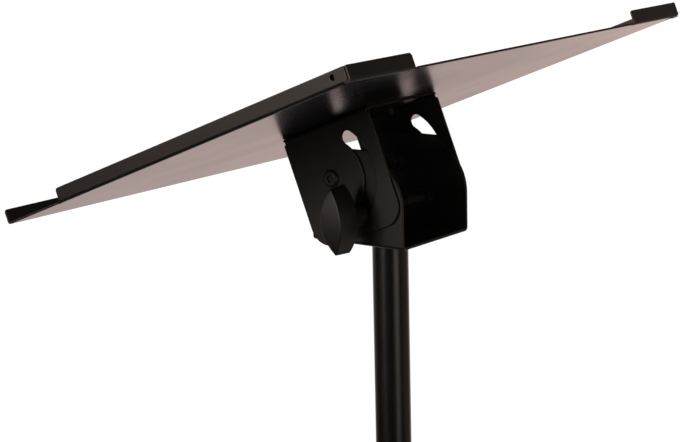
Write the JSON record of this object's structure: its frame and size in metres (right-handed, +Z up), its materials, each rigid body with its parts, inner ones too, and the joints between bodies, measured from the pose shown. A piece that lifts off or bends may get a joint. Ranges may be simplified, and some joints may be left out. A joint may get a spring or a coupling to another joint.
{
  "type": "projector stand",
  "caption": "Tilting steel projector tray on a slotted bracket with a wing clamp knob, carried by a telescopic pole on a folding tripod.",
  "frame": {"origin": "on the floor, where the pole's axis meets it", "axes": "+Z up along the pole; +X towards the side to which the tray's raised edge looks; +Y along the tilt axis, away from the tilt knob"},
  "size_m": [0.8299, 0.9584, 1.3231],
  "materials": {
    "black_powder_coat": "smooth semi-gloss powder coat with fine orange peel",
    "black_plastic": "fine moulded grain",
    "zinc_steel": "bright zinc plate",
    "black_steel": "black oxide, slightly oily sheen",
    "black_rubber": "matt moulded rubber"
  },
  "bodies": {
    "base": {"lower_tube": "black_powder_coat", "tube_end_cap": "black_plastic", "guide_bush": "black_plastic", "height_collar": "black_plastic", "collar_screws": "zinc_steel", "brake_shoe": "black_plastic", "bottom_hub": "black_plastic", "hub_screws": "zinc_steel", "brace_pins": "zinc_steel"},
    "mast": {"upper_tube": "black_powder_coat", "tube_plug": "zinc_steel", "head_bolt": "black_steel", "head_bolt_washer": "black_steel", "mast_foot_bush": "black_plastic", "head_bracket": "black_powder_coat", "pivot_screws": "black_steel", "pivot_nuts": "black_steel", "clamp_bolt": "black_steel", "clamp_lock_nut": "black_steel", "clamp_washers": "black_steel"},
    "tray_head": {"tray": "black_powder_coat", "tray_bracket": "black_powder_coat", "tray_screws": "black_steel", "tray_nuts": "black_steel"},
    "tilt_knob": {"tilt_knob_grip": "black_plastic", "tilt_knob_insert": "zinc_steel"},
    "height_knob": {"height_knob_grip": "black_plastic", "height_knob_screw": "zinc_steel"},
    "leg_slider": {"leg_collar": "black_plastic", "collar_bush": "black_plastic", "leg_pins": "zinc_steel"},
    "collar_knob": {"collar_knob_grip": "black_plastic", "collar_knob_screw": "zinc_steel"},
    "leg_1": {"leg_1": "black_powder_coat", "foot_1": "black_rubber"},
    "brace_1": {"brace_1": "black_powder_coat", "brace_rivets_1": "zinc_steel"},
    "leg_2": {"leg_2": "black_powder_coat", "foot_2": "black_rubber"},
    "brace_2": {"brace_2": "black_powder_coat", "brace_rivets_2": "zinc_steel"},
    "leg_3": {"leg_3": "black_powder_coat", "foot_3": "black_rubber"},
    "brace_3": {"brace_3": "black_powder_coat", "brace_rivets_3": "zinc_steel"}
  },
  "joints": [
    {"name": "height_slide", "type": "slide", "parent": "base", "child": "mast", "axis": [0, 0, 1], "range_m": [-0.33, 0.19]},
    {"name": "tray_tilt", "type": "hinge", "parent": "mast", "child": "tray_head", "pos_m": [-0.025, 0, 1.18], "axis": [0, -1, 0], "range_deg": [-49.5, 25.5]},
    {"name": "tilt_knob_turn", "type": "hinge", "parent": "mast", "child": "tilt_knob", "pos_m": [0.0065, -0.0798, 1.1484], "axis": [0, -1, 0], "range_deg": [0, 270]},
    {"name": "height_knob_turn", "type": "hinge", "parent": "base", "child": "height_knob", "pos_m": [0, -0.06, 0.7], "axis": [0, -1, 0], "range_deg": [0, 270]},
    {"name": "leg_slide", "type": "slide", "parent": "base", "child": "leg_slider", "axis": [0, 0, 1], "range_m": [0, 0.2054]},
    {"name": "collar_knob_turn", "type": "hinge", "parent": "leg_slider", "child": "collar_knob", "pos_m": [0.06, 0, 0.38324], "axis": [1, 0, 0], "range_deg": [0, 270]},
    {"name": "leg_1_fold", "type": "hinge", "parent": "leg_slider", "child": "leg_1", "pos_m": [-0.046, 0, 0.38324], "axis": [0, -1, 0], "range_deg": [0, 47]},
    {"name": "brace_1_fold", "type": "hinge", "parent": "base", "child": "brace_1", "pos_m": [-0.046, 0, 0.05078], "axis": [0, 1, 0], "range_deg": [0, 47]},
    {"name": "leg_2_fold", "type": "hinge", "parent": "leg_slider", "child": "leg_2", "pos_m": [0.023, -0.03984, 0.38324], "axis": [0.866, 0.5, 0], "range_deg": [0, 47]},
    {"name": "brace_2_fold", "type": "hinge", "parent": "base", "child": "brace_2", "pos_m": [0.023, -0.03984, 0.05078], "axis": [-0.866, -0.5, 0], "range_deg": [0, 47]},
    {"name": "leg_3_fold", "type": "hinge", "parent": "leg_slider", "child": "leg_3", "pos_m": [0.023, 0.03984, 0.38324], "axis": [-0.866, 0.5, 0], "range_deg": [0, 47]},
    {"name": "brace_3_fold", "type": "hinge", "parent": "base", "child": "brace_3", "pos_m": [0.023, 0.03984, 0.05078], "axis": [0.866, -0.5, 0], "range_deg": [0, 47]}
  ],
  "couplings": [
    {"joint": "leg_1_fold", "follows": "leg_slide", "rad_per_m": 3.992},
    {"joint": "brace_1_fold", "follows": "leg_slide", "rad_per_m": 3.992},
    {"joint": "leg_2_fold", "follows": "leg_slide", "rad_per_m": 3.992},
    {"joint": "brace_2_fold", "follows": "leg_slide", "rad_per_m": 3.992},
    {"joint": "leg_3_fold", "follows": "leg_slide", "rad_per_m": 3.992},
    {"joint": "brace_3_fold", "follows": "leg_slide", "rad_per_m": 3.992}
  ]
}
